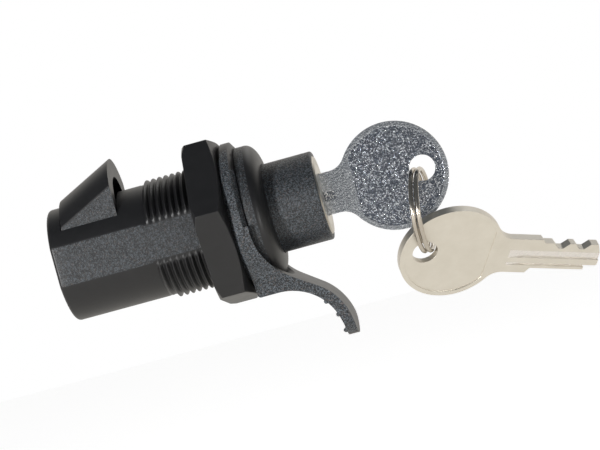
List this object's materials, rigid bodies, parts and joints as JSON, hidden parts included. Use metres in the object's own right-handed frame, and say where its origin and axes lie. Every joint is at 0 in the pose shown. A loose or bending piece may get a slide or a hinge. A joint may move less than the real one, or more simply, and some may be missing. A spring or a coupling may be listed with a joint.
{
  "type": "push-button latch lock",
  "caption": "Panel-mounted push-button slam latch with a finger pull, wafer key cylinder, wedge latch bolt, hex nut and two keys on a split ring",
  "frame": {"origin": "centre of the flat rear face of the finger pull's ring, where it seats on the panel's front face, on the lock's axis", "axes": "+X is the lock's axis towards the button and key, +Z is the way the latch bolt rises, +Y is to the side"},
  "size_m": [0.1205, 0.0412, 0.0544],
  "materials": {
    "black_nylon": "fine texture",
    "pull_nylon": "fine texture",
    "pin_steel": "satin nickel or plain steel",
    "nut_nylon": "fine texture",
    "button_nylon": "fine texture",
    "carrier_nylon": "fine texture",
    "nickel_zinc": "satin nickel or plain steel",
    "spring_steel": "satin nickel or plain steel",
    "plug_nickel": "satin nickel or plain steel",
    "wafer_brass": "plain",
    "cam_steel": "satin nickel or plain steel",
    "screw_steel": "satin nickel or plain steel",
    "bolt_nylon": "fine texture",
    "key_chrome": "bright nickel",
    "ring_steel": "bright nickel",
    "key_satin": "satin nickel or plain steel"
  },
  "bodies": {
    "base": {"housing": "black_nylon", "finger_pull": "pull_nylon", "stop_pin": "pin_steel", "bolt_spring": "spring_steel", "return_spring": "spring_steel"},
    "nut": {"hex_nut": "nut_nylon"},
    "button": {"push_button": "button_nylon", "carrier": "carrier_nylon", "carrier_pins": "pin_steel", "cylinder_shell": "nickel_zinc", "shell_pins": "pin_steel"},
    "plug": {"lock_plug": "plug_nickel", "wafer_1": "wafer_brass", "wafer_2": "wafer_brass", "wafer_3": "wafer_brass", "wafer_4": "wafer_brass", "wafer_5": "wafer_brass", "wafer_springs": "spring_steel", "plug_clip": "pin_steel", "lock_cam": "cam_steel", "cam_screw": "screw_steel"},
    "bolt": {"latch_bolt": "bolt_nylon"},
    "first_key": {"key_1": "key_chrome"},
    "ring": {"key_ring": "ring_steel"},
    "second_key": {"key_2": "key_satin"}
  },
  "joints": [
    {"name": "nut_travel", "type": "slide", "parent": "base", "child": "nut", "axis": [-1, 0, 0], "range_m": [0, 0.0104]},
    {"name": "button_push", "type": "slide", "parent": "base", "child": "button", "axis": [-1, 0, 0], "range_m": [0, 0.0079], "stiffness_N_per_m": 400, "springref_m": -0.004, "deforming": ["return_spring"]},
    {"name": "bolt_retract", "type": "slide", "parent": "base", "child": "bolt", "axis": [0, 0, -1], "range_m": [0, 0.0079], "deforming": ["bolt_spring"]},
    {"name": "plug_turn", "type": "hinge", "parent": "button", "child": "plug", "pos_m": [0, 0, 0], "axis": [1, 0, 0], "range_deg": [-90, 0]},
    {"name": "key_withdraw", "type": "slide", "parent": "plug", "child": "first_key", "axis": [1, 0, 0], "range_m": [0, 0.022]},
    {"name": "ring_swing", "type": "hinge", "parent": "first_key", "child": "ring", "pos_m": [0.0427, 0, 0], "axis": [0.1313, 0.9912, -0.0161], "range_deg": [-20, 20]},
    {"name": "second_key_swing", "type": "hinge", "parent": "ring", "child": "second_key", "pos_m": [0.04041, 0, -0.01866], "axis": [0.1313, 0.9912, -0.0161], "range_deg": [-20, 20]}
  ],
  "couplings": [
    {"joint": "bolt_retract", "follows": "button_push", "ratio": 1}
  ]
}
